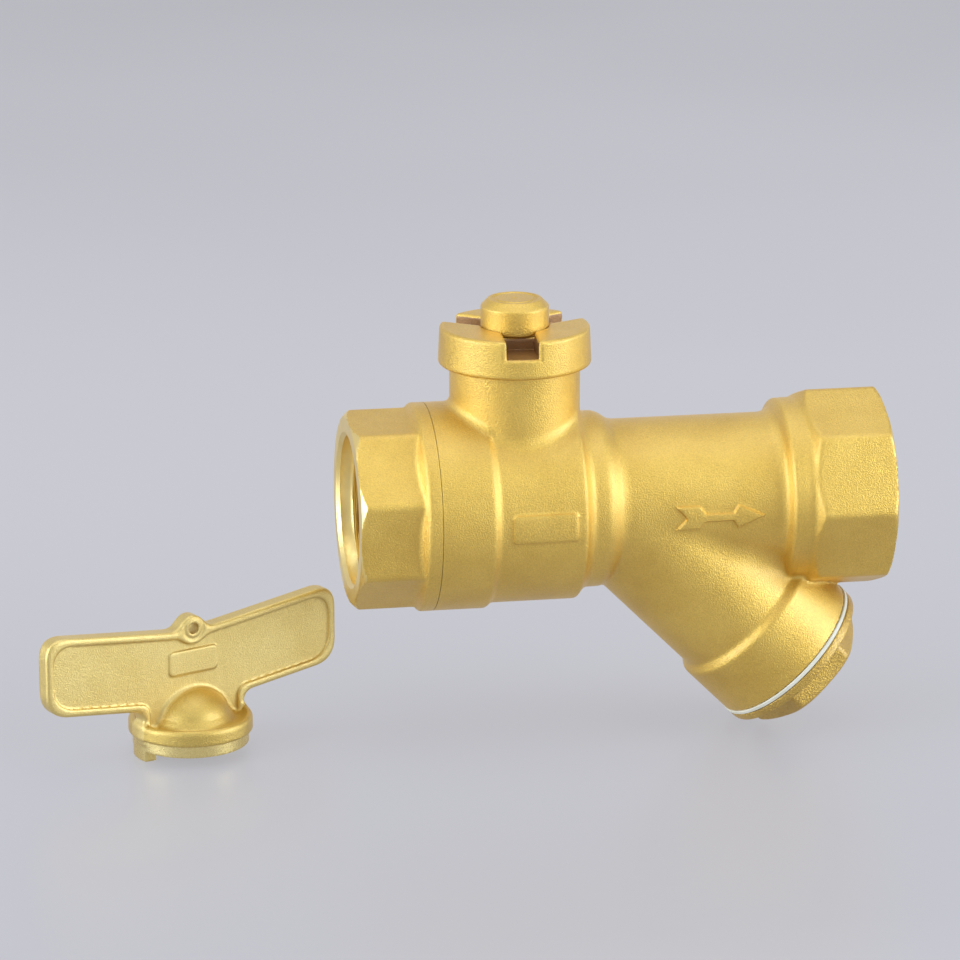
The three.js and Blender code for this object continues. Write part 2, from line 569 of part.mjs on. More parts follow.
function makeKey() {
  const key = new THREE.Group();
  key.position.set(...KEY_PLACE);
  key.rotation.z = KEY_TURN * DEGREE;
  valve.add(key);

  const half = KEY_THICKNESS / 2;
  const plate = slab(plateOutline(0), KEY_THICKNESS, -half);
  const panel = plateOutline(KEY_RIM_WIDTH);
  const frontPanel = slab(panel, 1, -half - 1 + KEY_RECESS_DEPTH);
  const backPanel = slab(panel, 1, half - KEY_RECESS_DEPTH);
  const acrossPlate = (geometry) => solid(geometry.rotateX(Math.PI / 2).translate(0, 0, BOSS_HEIGHT));
  const boss = acrossPlate(rod(BOSS_RADIUS, -half, half, SMALL));
  const eye = acrossPlate(rod(BOSS_HOLE_RADIUS, -half - 1, half + 1, 12));
  const hub = turned([
    [0, LUG_HEIGHT], [SKIRT_RADIUS, LUG_HEIGHT], [SKIRT_RADIUS, SKIRT_TOP], [HUB_RADIUS, SKIRT_TOP],
    [HUB_RADIUS, HUB_SHOULDER - 1], [HUB_RADIUS - 0.8, HUB_SHOULDER], [11.8, HUB_SHOULDER - 0.1],
    [10.4, HUB_SHOULDER - 1], ...arc(DOME_RADIUS, DOME_CENTRE, 8, 82, 6), [0, DOME_CENTRE + DOME_RADIUS],
  ]);
  const foot = (angle) => {
    const lug = box(SKIRT_RADIUS - LUG_INNER_RADIUS + 2, LUG_WIDTH, 0, SKIRT_TOP - 1);
    lug.translate((SKIRT_RADIUS + LUG_INNER_RADIUS) / 2 + 1, 0, 0).rotateZ(angle * DEGREE);
    return solid(lug).intersect(solid(rod(SKIRT_RADIUS, -1, SKIRT_TOP)));
  };
  const recess = turned([
    [0, -1], [KNOB_RADIUS + 0.4, -1], [KNOB_RADIUS + 0.4, KNOB_RECESS_TOP],
    [COVER_RADIUS + GAP, KNOB_RECESS_TOP], [COVER_RADIUS + GAP, MAGNET_SEAT],
    [MAGNET_RADIUS + GAP, MAGNET_SEAT], [MAGNET_RADIUS + GAP, MAGNET_TOP + GAP], [0, MAGNET_TOP + GAP],
  ]);
  const sunk = cut(plate, frontPanel, backPanel);
  const body = join(sunk, boss, solid(hub), ...LUG_ANGLES.map(foot));
  addPiece('key_body', cut(body, eye, solid(recess)), KEY_BRASS, key);
  addPiece('key_magnet', solid(rod(MAGNET_RADIUS, MAGNET_SEAT + 0.1, MAGNET_TOP, SMALL)), MAGNET, key);
  addPiece('magnet_cover', solid(rod(COVER_RADIUS, COVER_BOTTOM, MAGNET_SEAT - 0.25, SMALL)), STEEL, key);
}

makeBody();
makeConnector();
makeBall();
makeSeats();
makeStem();
makeGland();
makeCap();
makeKnob();
makeLockPin();
makeScreen();
makePlug();
makeKey();

export default valve;
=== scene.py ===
"""Looks for the lockable ball valve with a Y strainer and its loose wing key.

Lengths are in millimetres until a mesh is made. The frame's origin is the centre of the inlet face, +X is the
flow direction and +Z is up. Forged shapes are distance fields: negative inside, zero on the skin, blended
with fillets, and meshed by surface_net. Machined bores and threads are cut from them with closed turned
solids.
"""

import math

import bpy
import numpy as np
from mathutils import Matrix, Vector


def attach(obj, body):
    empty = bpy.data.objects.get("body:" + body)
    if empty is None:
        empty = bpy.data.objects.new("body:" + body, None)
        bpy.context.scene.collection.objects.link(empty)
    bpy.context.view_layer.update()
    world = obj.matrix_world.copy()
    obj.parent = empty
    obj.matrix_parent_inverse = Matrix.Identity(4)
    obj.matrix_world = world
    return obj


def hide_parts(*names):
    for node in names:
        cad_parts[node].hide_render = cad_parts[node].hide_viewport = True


MM = 0.001

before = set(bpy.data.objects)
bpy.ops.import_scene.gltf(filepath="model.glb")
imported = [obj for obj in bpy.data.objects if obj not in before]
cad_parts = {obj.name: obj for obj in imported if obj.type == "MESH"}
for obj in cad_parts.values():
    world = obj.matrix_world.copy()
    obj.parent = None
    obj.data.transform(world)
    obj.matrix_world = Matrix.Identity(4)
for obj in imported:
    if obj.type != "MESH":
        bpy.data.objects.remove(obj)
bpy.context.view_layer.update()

# Driving dimensions, as in the CAD model
STEM_X = 36.5
BRANCH_X = 60.3
LENGTH = 116.7
FLOOR_Z = -53.0
INLET_HALF_OCTAGON = 20.0
INLET_OCTAGON_TURN = math.radians(16.5)
OUTLET_HALF_OCTAGON = 20.6
OUTLET_OCTAGON_TURN = math.radians(-1)
KEY_PLACE = (-34.14, 2.54, FLOOR_Z)
KEY_TURN = math.radians(24.5)
G1_THREAD = {"pitch": 2.309, "depth": 1.479}
PLUG_THREAD = {"pitch": 1.5, "depth": 0.8}


# ---------------------------------------------------------------- fields

def blend_min(a, b, fillet):
    """The union of two fields, with a fillet about that wide where they meet."""
    near = np.maximum(fillet - np.abs(a - b), 0) / fillet
    return np.minimum(a, b) - near * near * fillet / 4


def blend_max(a, b, rounding):
    """The common part of two fields, with its edge rounded."""
    return -blend_min(-a, -b, rounding)


def cut(a, b, rounding):
    """Field a with field b taken away, and the new edge rounded."""
    return blend_max(a, -b, rounding)


def turned_field(along, radius, stations, softness):
    """A turned shape from (position, radius) stations, whose corners are softened."""
    places, radii = np.array(stations, float).T
    fine = np.arange(places[0] - 4 * softness, places[-1] + 4 * softness, softness / 8)
    kernel = np.exp(-0.5 * (np.arange(-24, 25) / 8) ** 2)
    padded = np.pad(np.interp(fine, places, radii), 24, mode="edge")
    smooth = np.convolve(padded, kernel / kernel.sum(), mode="valid")
    slope = np.gradient(smooth, fine)
    steepness = np.sqrt(1 + np.interp(along, fine, slope) ** 2)
    return (radius - np.interp(along, fine, smooth)) / steepness


def octagon_field(y, z, half, turn, rounding):
    """An octagonal bar along X. With turn 0 one corner faces -Y."""
    field = None
    for k in range(4):
        angle = turn + math.radians(22.5 + 45 * k)
        flat = np.abs(y * math.cos(angle) - z * math.sin(angle)) - half
        field = flat if field is None else blend_max(field, flat, rounding)
    return field


def box_2d(a, b, half_a, half_b, corner):
    """The distance to a rounded rectangle."""
    outside_a = np.abs(a) - half_a + corner
    outside_b = np.abs(b) - half_b + corner
    outer = np.hypot(np.maximum(outside_a, 0), np.maximum(outside_b, 0))
    return outer + np.minimum(np.maximum(outside_a, outside_b), 0) - corner


def segment_2d(a, b, start, end):
    """The distance to a straight stroke's centre line."""
    run = np.subtract(end, start)
    share = ((a - start[0]) * run[0] + (b - start[1]) * run[1]) / (run @ run)
    share = np.clip(share, 0, 1)
    return np.hypot(a - start[0] - share * run[0], b - start[1] - share * run[1])


def branch_axes(p):
    """Distance along the branch axis, and across it towards the upper right."""
    x = p[..., 0] - BRANCH_X
    z = p[..., 2]
    return (x - z) / math.sqrt(2), (x + z) / math.sqrt(2)


# ---------------------------------------------------------------- meshing

def surface_net(field, low, high, step):
    """The field's zero surface as points and quads, one point in each grid cell that it crosses."""
    low = np.array(low, float)
    counts = np.ceil((np.array(high) - low) / step).astype(int) + 1
    axes = [low[k] + step * np.arange(counts[k]) for k in range(3)]
    values = np.empty(counts, np.float32)
    for first in range(0, counts[0], 16):
        slab = np.stack(np.meshgrid(axes[0][first:first + 16], axes[1], axes[2], indexing="ij"), -1)
        values[first:first + 16] = field(slab)

    cells = tuple(counts - 1)
    place = np.zeros((*cells, 3), np.float32)
    hits = np.zeros(cells, np.float32)
    for axis in range(3):
        others = [k for k in range(3) if k != axis]
        for shift in ((0, 0), (0, 1), (1, 0), (1, 1)):
            start = [slice(0, -1)] * 3
            for k, s in zip(others, shift):
                start[k] = slice(s, counts[k] - 1 + s)
            end = list(start)
            end[axis] = slice(1, None)
            a, b = values[tuple(start)], values[tuple(end)]
            crossed = (a < 0) != (b < 0)
            hits += crossed
            place[..., axis] += np.where(crossed, a / np.where(crossed, a - b, 1), 0)
            for k, s in zip(others, shift):
                place[..., k] += s * crossed

    active = np.nonzero(hits)
    points = np.stack(active, -1) + place[active] / hits[active][:, None]
    number = np.full(cells, -1, np.int32)
    number[active] = np.arange(len(points))
    inside = values < 0
    quads = []
    for axis in range(3):
        b, c = (axis + 1) % 3, (axis + 2) % 3
        inner = [slice(1, -1)] * 3
        inner[axis] = slice(0, -1)
        upper = list(inner)
        upper[axis] = slice(1, None)
        here, there = inside[tuple(inner)], inside[tuple(upper)]
        edge = np.stack(np.nonzero(here != there), -1)
        outward = here[tuple(edge.T)]
        edge[:, b] += 1
        edge[:, c] += 1
        corners = []
        for move_b, move_c in ((-1, -1), (0, -1), (0, 0), (-1, 0)):
            cell = edge.copy()
            cell[:, b] += move_b
            cell[:, c] += move_c
            corners.append(number[tuple(cell.T)])
        ring = np.stack(corners, -1)
        quads.append(np.where(outward[:, None], ring, ring[:, ::-1]))
    return settle(field, low + step * points, step), np.concatenate(quads)


def settle(field, points, step):
    """Moves points onto the field's zero surface, each by less than a grid step."""
    nudge = 0.02
    start = points.copy()
    for _ in range(4):
        value = field(points)
        slope = np.stack([(field(points + nudge * np.eye(3)[k]) - value) / nudge for k in range(3)], -1)
        points = points - slope * (value / np.maximum((slope ** 2).sum(-1), 0.2))[:, None]
        points = start + np.clip(points - start, -0.7 * step, 0.7 * step)
    return points


def new_object(name, points, faces, matrix=None):
    """A mesh object from points in millimetres and equal-sided faces, with its place in its mesh."""
    points = np.asarray(points, float)
    faces = np.asarray(faces, np.int32)
    if matrix is not None:
        m = np.array(matrix)
        points = points @ m[:3, :3].T + m[:3, 3]
    mesh = bpy.data.meshes.new(name)
    mesh.vertices.add(len(points))
    mesh.vertices.foreach_set("co", (points * MM).astype(np.float32).ravel())
    mesh.loops.add(faces.size)
    mesh.loops.foreach_set("vertex_index", faces.ravel())
    mesh.polygons.add(len(faces))
    mesh.polygons.foreach_set("loop_start", np.arange(0, faces.size, faces.shape[1], dtype=np.int32))
    mesh.update(calc_edges=True)
    mesh.validate()
    piece = bpy.data.objects.new(name, mesh)
    bpy.context.scene.collection.objects.link(piece)
    return piece


def pipe_place(x=0.0):
    """Turns a shape made along +Z onto the pipe axis."""
    return Matrix.Translation((x, 0, 0)) @ Matrix.Rotation(math.pi / 2, 4, "Y")


def branch_place():
    return Matrix.Translation((BRANCH_X, 0, 0)) @ Matrix.Rotation(math.radians(135), 4, "Y")


def stem_place():
    return Matrix.Translation((STEM_X, 0, 0))


def key_place():
    return Matrix.Translation(KEY_PLACE) @ Matrix.Rotation(KEY_TURN, 4, "Z")


def thread_height(turn, height, thread):
    """How far a thread stands out, from 0 to its depth, fading at both ends."""
    phase = np.mod(height / thread["pitch"] - turn / (2 * math.pi), 1)
    ramp = 1 - np.abs(2 * phase - 1)
    fade = np.minimum(height - thread["start"], thread["end"] - height) / (0.4 * thread["pitch"])
    return thread["depth"] * np.clip((ramp - 0.13) / 0.74, 0, 1) * np.clip(fade, 0, 1)


def turned_solid(name, profile, place, sides=128, thread=None):
    """A closed solid turned around +Z from (radius, height) pairs that rise, with an optional thread."""
    rows = list(profile)
    if thread:
        extra = np.arange(thread["start"], thread["end"], thread["pitch"] / 12)
        heights = np.array([height for _, height in rows])
        radii = np.array([radius for radius, _ in rows])
        rows += [(float(np.interp(h, heights, radii)), float(h)) for h in extra]
        rows.sort(key=lambda row: row[1])
    turn = np.arange(sides) * 2 * math.pi / sides
    radius = np.array([row[0] for row in rows])[:, None] + np.zeros(sides)
    height = np.array([row[1] for row in rows])[:, None] + np.zeros(sides)
    if thread:
        radius = radius + thread_height(turn[None, :], height, thread)
    ring = np.stack([radius * np.sin(turn), -radius * np.cos(turn), height], -1).reshape(-1, 3)
    points = np.vstack([ring, [(0, 0, rows[0][1]), (0, 0, rows[-1][1])]])
    here = np.arange(sides)
    after = (here + 1) % sides
    faces = []
    for row in range(len(rows) - 1):
        base, up = row * sides, (row + 1) * sides
        faces.append(np.stack([base + here, base + after, up + after], -1))
        faces.append(np.stack([base + here, up + after, up + here], -1))
    top = (len(rows) - 1) * sides
    faces.append(np.stack([np.full(sides, len(points) - 2), after, here], -1))
    faces.append(np.stack([top + here, top + after, np.full(sides, len(points) - 1)], -1))
    return new_object(name, points, np.concatenate(faces), place)


def turned_ring(name, outline, place, sides=128):
    """A ring turned around +Z from a closed outline of (radius, height) pairs."""
    outline = np.array(outline, float)
    turn = np.arange(sides) * 2 * math.pi / sides
    radius = outline[:, 0][:, None]
    height = outline[:, 1][:, None] + np.zeros(sides)
    points = np.stack([radius * np.sin(turn), -radius * np.cos(turn), height], -1).reshape(-1, 3)
    here = np.arange(sides)
    after = (here + 1) % sides
    faces = []
    for row in range(len(outline)):
        base, up = row * sides, (row + 1) % len(outline) * sides
        faces.append(np.stack([base + here, base + after, up + after, up + here], -1))
    return new_object(name, points, np.concatenate(faces), place)


CUT_DEPTH = 0.15          # a face farther than this from the forged skin was made by a cutter


def combine(piece, tool, operation):
    """Cuts or joins piece with a closed tool, which is then removed."""
    modifier = piece.modifiers.new("combine", "BOOLEAN")
    modifier.object = tool
    modifier.operation = operation
    modifier.solver = "MANIFOLD"
    bpy.context.view_layer.update()
    graph = bpy.context.evaluated_depsgraph_get()
    made = bpy.data.meshes.new_from_object(piece.evaluated_get(graph))
    made.materials.clear()
    piece.modifiers.clear()
    piece.data = made
    bpy.data.objects.remove(tool)
    return piece


def face_places(piece, place=None):
    """The centres of the piece's faces in millimetres, and their normals, in the frame of place."""
    mesh = piece.data
    centres = np.empty(len(mesh.polygons) * 3, np.float32)
    normals = np.empty(len(mesh.polygons) * 3, np.float32)
    mesh.polygons.foreach_get("center", centres)
    mesh.polygons.foreach_get("normal", normals)
    centres = centres.reshape(-1, 3) / MM
    normals = normals.reshape(-1, 3)
    if place is not None:
        m = np.array(place.inverted())
        centres = centres @ m[:3, :3].T + m[:3, 3]
        normals = normals @ m[:3, :3].T
    return centres, normals


def mark_faces(piece, slots):
    """Gives every face its material slot, from a test (0 or 1) or from slot numbers."""
    piece.data.polygons.foreach_set("material_index", slots.astype(np.int32))
    piece.data.update()


def smooth(piece, angle=35):
    mesh = piece.data
    mesh.polygons.foreach_set("use_smooth", np.ones(len(mesh.polygons), bool))
    mesh.set_sharp_from_angle(angle=math.radians(angle))
    mesh.update()


def put(piece, body, nodes, slot, *materials):
    """Finishes a piece: materials, smooth shading, the body it rides on and the CAD nodes it replaces."""
    for material in materials:
        piece.data.materials.append(material)
    smooth(piece)
    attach(piece, body)
    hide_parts(*nodes)
    return piece


def polygon_2d(a, b, corners):
    """The distance to a closed polygon, negative inside."""
    inside = np.zeros(np.shape(a), bool)
    nearest = np.full(np.shape(a), np.inf)
    for start, end in zip(corners, corners[1:] + corners[:1]):
        nearest = np.minimum(nearest, segment_2d(a, b, start, end))
        if start[1] != end[1]:
            meets = start[0] + (b - start[1]) * (end[0] - start[0]) / (end[1] - start[1])
            inside ^= ((start[1] > b) != (end[1] > b)) & (a < meets)
    return np.where(inside, -nearest, nearest)


# ---------------------------------------------------------------- valve body

PARTING = -19.21          # the body's end face by the connector's flange, measured from the stem axis
OUTLET_FACE = LENGTH - STEM_X
PIPE_STATIONS = [
    (-22, 22.45), (-7.95, 22.5), (-6.6, 21.4), (11.7, 21.4), (12.2, 21.15), (12.8, 20.2), (13.5, 19.6),
    (14.2, 19.1), (17.4, 19.05), (18.6, 18.6), (20.6, 17.25), (22.0, 17.0), (64.0, 17.0),
]
RING_STATIONS = [
    (54.0, 15.0), (55.2, 16.6), (56.5, 17.6), (57.7, 19.7), (58.3, 19.9), (58.75, 19.9),
    (58.95, 19.6), (59.15, 19.9), (64.0, 19.9),
]
BRANCH_STATIONS = [(-2, 16.8), (37.0, 16.8), (38.4, 18.2), (53, 18.2)]
COLLAR_END = 51.2
STATIONS_END = 62.0       # inside the outlet octagon, where the turned shapes stop
PARTING_ALLOWANCE = 1.2   # forged past the parting plane, and cut off with the chamber
NECK_RADIUS = 14.0
NECK_START = 5.0          # inside the chamber
NECK_TOP = 33.6
NECK_FILLET = 1.8
RING_START = 54.0
BRANCH_SEAM = 0.4         # the least fillet, where the branch's skin runs like the pipe's
BRANCH_FILLET = 5.0       # added to it where the skins cross squarely
BRANCH_FADE = 12.0        # how far along the branch that fillet takes to grow
ARROW_TOP = 17.75         # radii of the raised marks' outer faces
PAD_TOP = 22.0
PIN_ORBIT = 11.6          # the lock pin's distance from the stem axis
PIN_ANGLE = 86            # degrees from +X, with the valve open
ARROW = [
    (32.0, 2.6), (37.2, 2.6), (38.4, 0.85), (44.6, 0.8), (45.6, 2.6), (51.3, 0.0),
    (45.6, -2.6), (44.6, -0.8), (38.4, -0.85), (37.2, -2.6), (32.0, -2.6), (34.5, 0.0),
]


def body_field(p):
    x, y, z = p[..., 0], p[..., 1], p[..., 2]
    along = x - STEM_X
    radius = np.hypot(y, z)
    turn = np.arctan2(z, -y)

    pipe = turned_field(along, radius, PIPE_STATIONS, 0.25)
    pipe = blend_max(pipe, np.maximum(PARTING - PARTING_ALLOWANCE - along, along - STATIONS_END), 0.3)
    neck = blend_max(np.hypot(along, y) - NECK_RADIUS, z - NECK_TOP, 0.5)
    neck = np.maximum(neck, NECK_START - z)
    field = blend_min(pipe, neck, NECK_FILLET)

    s, n = branch_axes(p)
    across = np.hypot(n, y)
    branch = turned_field(s, across, BRANCH_STATIONS, 0.3)
    branch = blend_max(branch, np.maximum(s - COLLAR_END, -s), 0.3)
    likeness = (z * n / math.sqrt(2) + y * y) / np.maximum(radius * across, 1)
    fillet = BRANCH_FILLET * np.clip(1 - likeness, 0, 1) * np.clip(s / BRANCH_FADE, 0, 1)
    field = blend_min(field, branch, BRANCH_SEAM + fillet)

    ring = turned_field(along, radius, RING_STATIONS, 0.25)
    ring = np.maximum(ring, np.maximum(RING_START - along, along - STATIONS_END))
    field = blend_min(field, ring, 1.0)
    octagon = octagon_field(y, z, OUTLET_HALF_OCTAGON, OUTLET_OCTAGON_TURN, 0.7)
    inner_cone = (62.2 + 0.8 * (radius - 20.0) - along) / 1.28
    outer_cone = (along - OUTLET_FACE + 0.58 * (radius - 20.7)) / 1.156
    octagon = blend_max(blend_max(octagon, inner_cone, 0.5), outer_cone, 0.4)
    octagon = blend_max(octagon, along - OUTLET_FACE, 0.3)
    field = blend_min(field, octagon, 0.8)

    front = y < 0
    arrow = blend_max(polygon_2d(along, 17 * turn + 0.6, ARROW), radius - ARROW_TOP, 0.4)
    pad = blend_max(box_2d(along - 2.9, 21.4 * turn, 7.0, 3.1, 1.0), radius - PAD_TOP, 0.4)
    marks = np.where(front, np.minimum(arrow, pad), 5.0)
    return blend_min(field, marks, 0.4)


def make_body():
    points, quads = surface_net(body_field, (15.2, -23.6, -51.6), (118, 23.6, 35), STEP["body"])
    body = new_object("body_forging", points, quads)
    chamber = [
        (24.0, -23), (24.0, PARTING), (19.5, PARTING), (19.5, -8.7), (18.0, -8.7), (18.0, 9.0),
        (15.9, 9.0), (15.9, 14.9), (11.3, 14.9), (11.3, 28),
    ]
    combine(body, turned_solid("chamber", chamber, pipe_place(STEM_X)), "DIFFERENCE")
    neck = [(7.9, 12.4), (7.9, 22.0), (5.3, 22.0), (5.3, 27.0), (9.1, 27.0), (9.1, 35.0)]
    combine(body, turned_solid("neck_bore", neck, stem_place()), "DIFFERENCE")
    for angle in (PIN_ANGLE, PIN_ANGLE - 90):
        turn = Matrix.Rotation(math.radians(angle), 4, "Z")
        place = stem_place() @ turn @ Matrix.Translation((PIN_ORBIT, 0, 0))
        combine(body, turned_solid("pin_pocket", [(1.5, 31.6), (1.5, 35.0)], place), "DIFFERENCE")
    combine(body, turned_solid("screen_bore", [(11.7, -7), (11.7, 20)], branch_place()), "DIFFERENCE")
    sump = [(13.9, 9.0), (13.9, 39.0), (14.3, 40.0), (14.3, 50.2), (15.6, 51.6)]
    thread = dict(PLUG_THREAD, start=40.2, end=51.4)
    combine(body, turned_solid("sump", sump, branch_place(), thread=thread), "DIFFERENCE")
    outlet = [(11.3, 77.5), (11.3, 97.5), (15.15, 99.5), (15.15, 114.9), (17.2, 117.1)]
    thread = dict(G1_THREAD, start=100.2, end=117.5)
    combine(body, turned_solid("outlet_bore", outlet, pipe_place(), thread=thread), "DIFFERENCE")
    centres, normals = face_places(body)
    turned_end = (centres[:, 0] > LENGTH - 1.5) & (normals[:, 0] > 0.6)
    mark_faces(body, (np.abs(body_field(centres)) > CUT_DEPTH) | turned_end)
    put(body, "valve", ["valve_body"], "forged_brass", FORGED, TURNED)


CONNECTOR_STATIONS = [
    (12.0, 19.2), (12.75, 19.9), (14.35, 22.35), (14.9, 22.5), (19, 22.45),
]
CONNECTOR_FLANGE_END = 17.18
SPIGOT_RADIUS = 19.2
SPIGOT_END = 27.5
SEAL_GROOVE_FLOOR = 17.3
SEAL_GROOVE_MIDDLE = 19.8


def connector_field(p):
    x, y, z = p[..., 0], p[..., 1], p[..., 2]
    radius = np.hypot(y, z)
    octagon = octagon_field(y, z, INLET_HALF_OCTAGON, INLET_OCTAGON_TURN, 0.7)
    octagon = blend_max(octagon, (0.95 * (radius - 20.0) - x) / 1.38, 0.2)
    octagon = blend_max(octagon, np.maximum(0.1 - x, x - 15), 0.2)
    flange = turned_field(x, radius, CONNECTOR_STATIONS, 0.22)
    flange = blend_max(flange, np.maximum(12.2 - x, x - CONNECTOR_FLANGE_END - 1), 0.25)
    head = blend_min(octagon, flange, 0.7)
    spigot = blend_max(radius - SPIGOT_RADIUS, np.maximum(10 - x, x - SPIGOT_END), 0.4)
    groove = np.maximum(SEAL_GROOVE_FLOOR - radius, np.abs(x - SEAL_GROOVE_MIDDLE) - 1.1)
    return np.minimum(head, cut(spigot, groove, 0.3))


def make_connector():
    points, quads = surface_net(connector_field, (-1, -23.4, -23.4), (28.5, 23.4, 23.4), STEP["connector"])
    connector = new_object("connector_forging", points, quads)
    bore = [
        (17.4, -0.4), (16.1, 0.9), (16.0, 3.0), (15.15, 4.2), (15.15, 16.5), (11.3, 18.5), (11.3, 21.6),
        (15.9, 21.6), (15.9, 29.0),
    ]
    thread = dict(G1_THREAD, start=3.4, end=15.8)
    combine(connector, turned_solid("inlet_bore", bore, pipe_place(), thread=thread), "DIFFERENCE")
    step = [
        (SPIGOT_RADIUS, 18.5), (SPIGOT_RADIUS, CONNECTOR_FLANGE_END),
        (24.0, CONNECTOR_FLANGE_END), (24.0, 18.5),
    ]
    combine(connector, turned_ring("flange_step", step, pipe_place()), "DIFFERENCE")
    centres, normals = face_places(connector)
    turned_end = (centres[:, 0] < 2.2) & (normals[:, 0] < -0.5)
    mark_faces(connector, (np.abs(connector_field(centres)) > CUT_DEPTH) | turned_end)
    put(connector, "valve", ["inlet_connector"], "forged_brass", FORGED, TURNED)


# ---------------------------------------------------------------- ball and seats

BALL_RADIUS = 17.4
PORT_RADIUS = 11.0


def ball_field(p):
    x, y, z = p[..., 0], p[..., 1], p[..., 2]
    sphere = np.sqrt(x * x + y * y + z * z) - BALL_RADIUS
    port = np.hypot(y, z) - PORT_RADIUS
    slot = np.maximum(np.abs(x) - 3.3, 13.0 - z)
    return cut(cut(sphere, port, 0.6), slot, 0.4)


def make_ball_and_seats():
    points, quads = surface_net(ball_field, (-18.4,) * 3, (18.4,) * 3, STEP["ball"])
    ball = new_object("chromed_ball", points, quads, stem_place())
    put(ball, "stem_and_cap", ["ball"], "chrome", CHROME)
    angles = np.radians(np.linspace(30.8, 50.3, 12))
    face = [(17.7 * math.cos(a), 17.7 * math.sin(a)) for a in angles]
    outline = [(11.3, 14.6), (15.6, 14.6), (15.6, 9.06)] + face
    mirrored = [(radius, -height) for radius, height in reversed(outline)]
    outlet = turned_ring("outlet_seat_ring", list(reversed(outline)), pipe_place(STEM_X))
    inlet = turned_ring("inlet_seat_ring", list(reversed(mirrored)), pipe_place(STEM_X))
    put(outlet, "valve", ["outlet_seat"], "ptfe", PTFE)
    put(inlet, "valve", ["inlet_seat"], "ptfe", PTFE)


# ---------------------------------------------------------------- cap and knob

CAP_RADIUS = 16.45
CAP_BOTTOM = 31.2
CAP_TOP = 39.5
CAP_DRAFT = 0.045         # how much the rim narrows for each millimetre of height
CAP_HOLLOW_RADIUS = 14.6
CAP_CEILING = 34.2
SLOT_ANGLES = (-94, 26, 146)
SLOT_DEPTH = 3.9
SLOT_HALF_WIDTH = 3.4
SLOT_INNER_RADIUS = 6.9
SLOT_BEVEL_START = 15.3   # the slots widen from here to the rim
KNOB_RADIUS = 7.3
KNOB_TOP = 45.35
KNOB_BOTTOM = 38.35
KNOB_CHAMFER_START = 43.75
KNOB_HOLLOW_RADIUS = 5.1
KNOB_HOLLOW_TOP = 42.4


def slots_field(x, y, z, half_width):
    slots = None
    for angle in SLOT_ANGLES:
        c, s = math.cos(math.radians(angle)), math.sin(math.radians(angle))
        outward, across = x * c + y * s, y * c - x * s
        bevel = np.maximum(outward - SLOT_BEVEL_START, 0)
        ends = np.maximum(SLOT_INNER_RADIUS - outward, CAP_TOP - SLOT_DEPTH - z)
        slot = np.maximum(np.abs(across) - half_width - bevel, ends)
        slots = slot if slots is None else np.minimum(slots, slot)
    return slots


def cap_field(p):
    x, y, z = p[..., 0], p[..., 1], p[..., 2]
    radius = np.hypot(x, y)
    cap = radius - CAP_RADIUS + CAP_DRAFT * (z - CAP_BOTTOM)
    cap = blend_max(cap, z - CAP_TOP, 0.9)
    cap = blend_max(cap, CAP_BOTTOM - z, 0.9)
    cap = cut(cap, np.maximum(radius - CAP_HOLLOW_RADIUS, z - CAP_CEILING), 0.4)
    stem_hole = np.maximum(np.maximum(radius - 5.3, np.abs(x) - 4.3), z - 37.0)
    screw_hole = np.minimum(radius - 2.3, np.maximum(radius - 7.45, 38.3 - z))
    cap = cut(cap, np.minimum(stem_hole, screw_hole), 0.3)
    cap = cut(cap, slots_field(x, y, z, SLOT_HALF_WIDTH), 0.9)
    c, s = math.cos(math.radians(PIN_ANGLE)), math.sin(math.radians(PIN_ANGLE))
    pin_hole = np.maximum(np.hypot(x - PIN_ORBIT * c, y - PIN_ORBIT * s) - 1.5, z - 38.2)
    return cut(cap, pin_hole, 0.3)


def knob_field(p):
    x, y, z = p[..., 0], p[..., 1], p[..., 2]
    radius = np.hypot(x, y)
    knob = blend_max(radius - KNOB_RADIUS, np.maximum(z - KNOB_TOP, KNOB_BOTTOM - z), 0.3)
    knob = blend_max(knob, (radius - KNOB_RADIUS + (z - KNOB_CHAMFER_START)) / 1.414, 0.15)
    ring_groove = np.hypot(radius - 4.5, z - 45.55) - 0.5
    knob = cut(knob, ring_groove, 0.15)
    pip = np.sqrt(radius ** 2 + (z - 44.9) ** 2) - 0.65
    knob = blend_min(knob, pip, 0.2)
    hollow = np.maximum(radius - KNOB_HOLLOW_RADIUS, z - KNOB_HOLLOW_TOP)
    return cut(knob, hollow, 0.2)


def make_cap_and_knob():
    points, quads = surface_net(cap_field, (-17, -17, 30.6), (17, 17, 40.1), STEP["cap"])
    cap = new_object("cap_forging", points, quads, stem_place())
    centres, _ = face_places(cap, stem_place())
    x, y, z = centres.T
    # Painted shade: the faces inside the slots get a dark reddish brass that stands in for the shade falling
    # in them.
    in_slot = (slots_field(x, y, z, 3.6) < 0.2) & (z < CAP_TOP - 0.6) & (np.hypot(x, y) < 15.6)
    mark_faces(cap, in_slot)
    put(cap, "stem_and_cap", ["lock_cap"], "forged_brass", FORGED, SLOT_PAINTED_SHADE)
    points, quads = surface_net(knob_field, (-8, -8, 38.2), (8, 8, 46), STEP["knob"])
    knob = new_object("knob_forging", points, quads, stem_place())
    put(knob, "stem_and_cap", ["lock_knob"], "forged_brass", FORGED)


# ---------------------------------------------------------------- strainer

HEX_TURN = math.radians(23)
HEX_HALF_FLATS = 13.25
PLUG_FLANGE_RADIUS = 18.3
PLUG_END = 59.9


